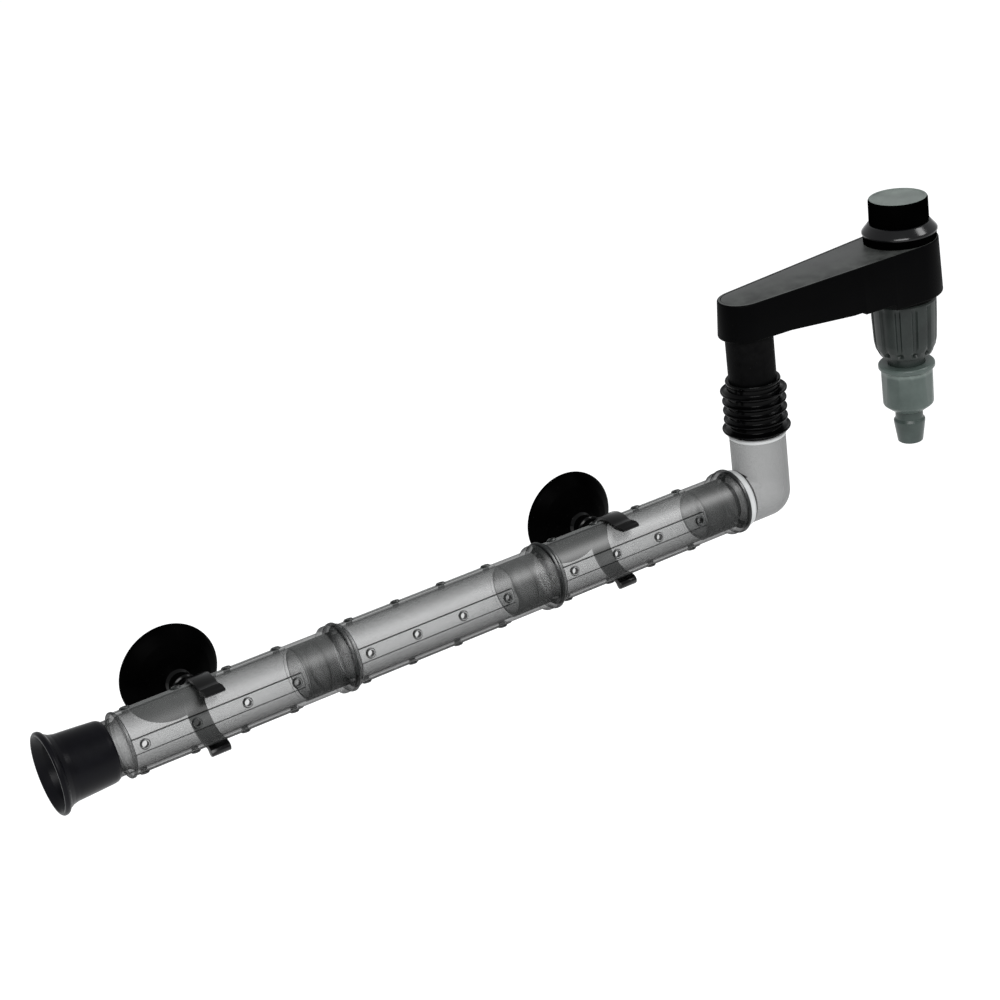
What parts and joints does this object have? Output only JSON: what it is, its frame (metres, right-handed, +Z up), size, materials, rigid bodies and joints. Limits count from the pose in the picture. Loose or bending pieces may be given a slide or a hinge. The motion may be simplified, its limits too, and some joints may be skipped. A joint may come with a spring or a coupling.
{
  "type": "aquarium filter outlet kit with spray bar",
  "caption": "Over-the-rim outlet arm of a canister filter: hose barb fitting, rubber bellows, elbow, perforated spray bar with a flared nozzle, on suction cups.",
  "frame": {"origin": "centre of the level land under the arm that rests on the tank's rim", "axes": "+Z up, -X along the spray bar into the tank, +Y towards the glass that the suction cups hold"},
  "size_m": [0.4228, 0.053, 0.1251],
  "materials": {
    "arm": "fine satin moulded black",
    "arm_top": "fine-grained satin black",
    "cap": "matte black with a lighter worn top",
    "collar": "glossy black",
    "fitting": "satin dark grey-green",
    "tail": "dark satin",
    "rubber": "glossy black moulded rubber",
    "cup": "smooth glossy black",
    "nozzle": "satin black moulded rubber",
    "seal": "satin black",
    "smoke": "smoky translucent",
    "elbow": "frosted light grey",
    "clip": "satin black"
  },
  "bodies": {
    "arm": {"arm_casing": "arm", "arm_cover": "arm_top", "neck_collar": "collar"},
    "seal_carrier": {"cap_seal": "seal"},
    "cap": {"filler_cap": "cap"},
    "lock_nut": {"ribbed_lock_nut": "fitting"},
    "coupler": {"hose_coupler": "tail", "coupler_o_ring": "seal"},
    "barb": {"hose_barb": "fitting", "union_washer": "seal"},
    "union": {"union_nut": "fitting"},
    "bellows_end": {"bellows": "rubber"},
    "elbow": {"elbow": "elbow", "elbow_o_ring": "seal"},
    "section_right": {"spray_section_right": "smoke", "section_o_ring_right": "seal"},
    "section_middle": {"spray_section_middle": "smoke", "section_o_ring_left": "seal"},
    "section_left": {"spray_section_left": "smoke"},
    "nozzle": {"trumpet_nozzle": "nozzle"},
    "clip_right": {"clip_right": "clip"},
    "clip_left": {"clip_left": "clip"},
    "cup_right": {"suction_cup_right": "cup"},
    "cup_left": {"suction_cup_left": "cup"}
  },
  "joints": [
    {"name": "cap_lift", "type": "slide", "parent": "arm", "child": "seal_carrier", "axis": [0, 0, 1], "range_m": [0, 0.0075]},
    {"name": "cap_turn", "type": "hinge", "parent": "seal_carrier", "child": "cap", "pos_m": [0.0245, 0, 0.0335], "axis": [0, 0, 1], "range_deg": [0, 900]},
    {"name": "lock_nut_turn", "type": "hinge", "parent": "arm", "child": "lock_nut", "pos_m": [0.0245, 0, -0.0165], "axis": [0, 0, 1], "range_deg": [0, 90]},
    {"name": "fitting_swivel", "type": "hinge", "parent": "arm", "child": "coupler", "pos_m": [0.0245, 0, -0.0105], "axis": [0, 0, 1], "continuous": true},
    {"name": "union_drop", "type": "slide", "parent": "coupler", "child": "barb", "axis": [0, 0, -1], "range_m": [0, 0.012]},
    {"name": "union_turn", "type": "hinge", "parent": "barb", "child": "union", "pos_m": [0.0245, 0, -0.0465], "axis": [0, 0, -1], "range_deg": [0, 1440]},
    {"name": "bellows_bend", "type": "hinge", "parent": "arm", "child": "bellows_end", "pos_m": [-0.058, 0, -0.028], "axis": [0, 1, 0], "range_deg": [-10, 10], "deforming": ["bellows"]},
    {"name": "elbow_swivel", "type": "hinge", "parent": "bellows_end", "child": "elbow", "pos_m": [-0.058, 0, -0.0365], "axis": [0, 0, 1], "range_deg": [-95, 95]},
    {"name": "bar_turn", "type": "hinge", "parent": "elbow", "child": "section_right", "pos_m": [-0.074, 0, -0.0665], "axis": [1, 0, 0], "continuous": true},
    {"name": "middle_turn", "type": "hinge", "parent": "section_right", "child": "section_middle", "pos_m": [-0.1672, 0, -0.0665], "axis": [1, 0, 0], "continuous": true},
    {"name": "left_turn", "type": "hinge", "parent": "section_middle", "child": "section_left", "pos_m": [-0.2604, 0, -0.0665], "axis": [1, 0, 0], "continuous": true},
    {"name": "nozzle_turn", "type": "hinge", "parent": "section_left", "child": "nozzle", "pos_m": [-0.3575, 0, -0.0665], "axis": [1, 0, 0], "continuous": true},
    {"name": "clip_right_turn", "type": "hinge", "parent": "section_right", "child": "clip_right", "pos_m": [-0.1329, 0, -0.0665], "axis": [1, 0, 0], "continuous": true},
    {"name": "clip_left_turn", "type": "hinge", "parent": "section_left", "child": "clip_left", "pos_m": [-0.3177, 0, -0.0665], "axis": [1, 0, 0], "continuous": true},
    {"name": "cup_right_turn", "type": "hinge", "parent": "clip_right", "child": "cup_right", "pos_m": [-0.1329, 0.024, -0.0651], "axis": [0, 1, 0], "continuous": true},
    {"name": "cup_left_turn", "type": "hinge", "parent": "clip_left", "child": "cup_left", "pos_m": [-0.3177, 0.024, -0.0651], "axis": [0, 1, 0], "continuous": true}
  ],
  "couplings": [
    {"joint": "cap_turn", "follows": "cap_lift", "rad_per_m": 2094.4},
    {"joint": "union_turn", "follows": "union_drop", "rad_per_m": 2094.4}
  ]
}
